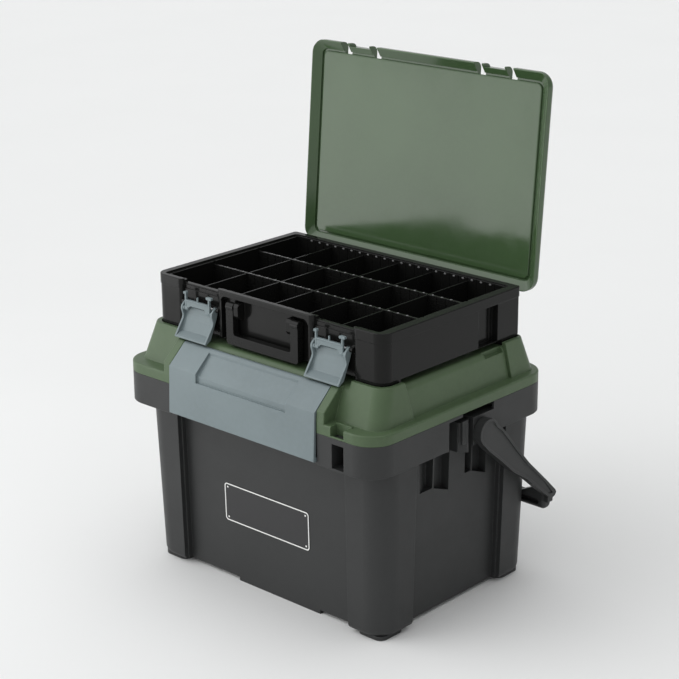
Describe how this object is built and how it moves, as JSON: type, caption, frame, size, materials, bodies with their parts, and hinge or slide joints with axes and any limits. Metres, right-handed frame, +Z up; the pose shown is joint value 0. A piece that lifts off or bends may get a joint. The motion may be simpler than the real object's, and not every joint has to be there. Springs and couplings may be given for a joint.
{
  "type": "stackable storage box",
  "caption": "Tapered storage tub with hinged lid, front buckle and swing bail, carrying a lift-off compartment case with a hinged lid, side-by-side latches and a folding handle.",
  "frame": {"origin": "on the floor, under the middle of the assembly's bounding box", "axes": "+X to the right seen from the front, +Y to the back where the hinges are, +Z up"},
  "size_m": [0.476, 0.3757, 0.6742],
  "materials": {
    "black_plastic": "fine satin moulded polypropylene",
    "gloss_black": "glossy moulded ABS",
    "divider_black": "glossy moulded sheet",
    "green_plastic": "satin moulded polypropylene",
    "green_gloss": "glossy inside, satin rim",
    "grey_plastic": "satin moulded plastic",
    "label_plate": "thin printed film",
    "steel": "drawn wire"
  },
  "bodies": {
    "tub": {"tub": "black_plastic", "front_label": "label_plate", "base_hinge_pins": "steel", "bail_pivot_pins": "steel"},
    "base_lid": {"base_lid": "green_plastic", "buckle_pins": "steel"},
    "front_buckle": {"front_buckle": "grey_plastic"},
    "bail_handle": {"bail_handle": "black_plastic"},
    "case_body": {"case_body": "gloss_black", "case_hinge_pins": "steel", "case_handle_pins": "steel", "latch_left_lever_pin": "steel", "latch_right_lever_pin": "steel"},
    "case_lid": {"case_lid": "green_gloss"},
    "case_handle": {"case_handle": "gloss_black"},
    "latch_left_lever": {"latch_left_lever": "grey_plastic", "latch_left_link_pin": "steel"},
    "latch_left_link": {"latch_left_link": "grey_plastic"},
    "latch_right_lever": {"latch_right_lever": "grey_plastic", "latch_right_link_pin": "steel"},
    "latch_right_link": {"latch_right_link": "grey_plastic"},
    "long_divider_front": {"long_divider_front": "divider_black"},
    "long_divider_rear": {"long_divider_rear": "divider_black"},
    "cross_dividers_front": {"cross_dividers_front": "divider_black"},
    "cross_dividers_middle": {"cross_dividers_middle": "divider_black"},
    "cross_dividers_rear": {"cross_dividers_rear": "divider_black"}
  },
  "joints": [
    {"name": "base_lid_hinge", "type": "hinge", "parent": "tub", "child": "base_lid", "pos_m": [0, 0.16873, 0.2764], "axis": [1, 0, 0], "range_deg": [-95, 0]},
    {"name": "front_buckle_hinge", "type": "hinge", "parent": "base_lid", "child": "front_buckle", "pos_m": [0, -0.15427, 0.3248], "axis": [1, 0, 0], "range_deg": [-40, 0]},
    {"name": "bail_swing", "type": "hinge", "parent": "tub", "child": "bail_handle", "pos_m": [0, 0.02123, 0.244], "axis": [1, 0, 0], "range_deg": [0, 78]},
    {"name": "case_lift", "type": "slide", "parent": "base_lid", "child": "case_body", "axis": [0, 0, 1], "range_m": [0, 0.08]},
    {"name": "case_lid_hinge", "type": "hinge", "parent": "case_body", "child": "case_lid", "pos_m": [0, 0.13423, 0.3905], "axis": [-1, 0, 0], "range_deg": [-94.7, 0]},
    {"name": "case_handle_swing", "type": "hinge", "parent": "case_body", "child": "case_handle", "pos_m": [0, -0.13917, 0.3872], "axis": [-1, 0, 0], "range_deg": [0, 95]},
    {"name": "latch_left_lever_hinge", "type": "hinge", "parent": "case_body", "child": "latch_left_lever", "pos_m": [-0.1165, -0.13717, 0.375], "axis": [-1, 0, 0], "range_deg": [-4, 50]},
    {"name": "latch_left_link_hinge", "type": "hinge", "parent": "latch_left_lever", "child": "latch_left_link", "pos_m": [-0.1165, -0.14317, 0.3696], "axis": [-1, 0, 0], "range_deg": [-50, 4]},
    {"name": "latch_right_lever_hinge", "type": "hinge", "parent": "case_body", "child": "latch_right_lever", "pos_m": [0.1165, -0.13717, 0.375], "axis": [-1, 0, 0], "range_deg": [-4, 50]},
    {"name": "latch_right_link_hinge", "type": "hinge", "parent": "latch_right_lever", "child": "latch_right_link", "pos_m": [0.1165, -0.14317, 0.3696], "axis": [-1, 0, 0], "range_deg": [-50, 4]},
    {"name": "long_divider_front_lift", "type": "slide", "parent": "case_body", "child": "long_divider_front", "axis": [0, 0, 1], "range_m": [0, 0.06]},
    {"name": "long_divider_rear_lift", "type": "slide", "parent": "case_body", "child": "long_divider_rear", "axis": [0, 0, 1], "range_m": [0, 0.06]},
    {"name": "cross_dividers_front_lift", "type": "slide", "parent": "case_body", "child": "cross_dividers_front", "axis": [0, 0, 1], "range_m": [0, 0.06]},
    {"name": "cross_dividers_middle_lift", "type": "slide", "parent": "case_body", "child": "cross_dividers_middle", "axis": [0, 0, 1], "range_m": [0, 0.06]},
    {"name": "cross_dividers_rear_lift", "type": "slide", "parent": "case_body", "child": "cross_dividers_rear", "axis": [0, 0, 1], "range_m": [0, 0.06]}
  ],
  "couplings": [
    {"joint": "latch_left_link_hinge", "follows": "latch_left_lever_hinge", "ratio": -1},
    {"joint": "latch_right_link_hinge", "follows": "latch_right_lever_hinge", "ratio": -1}
  ]
}
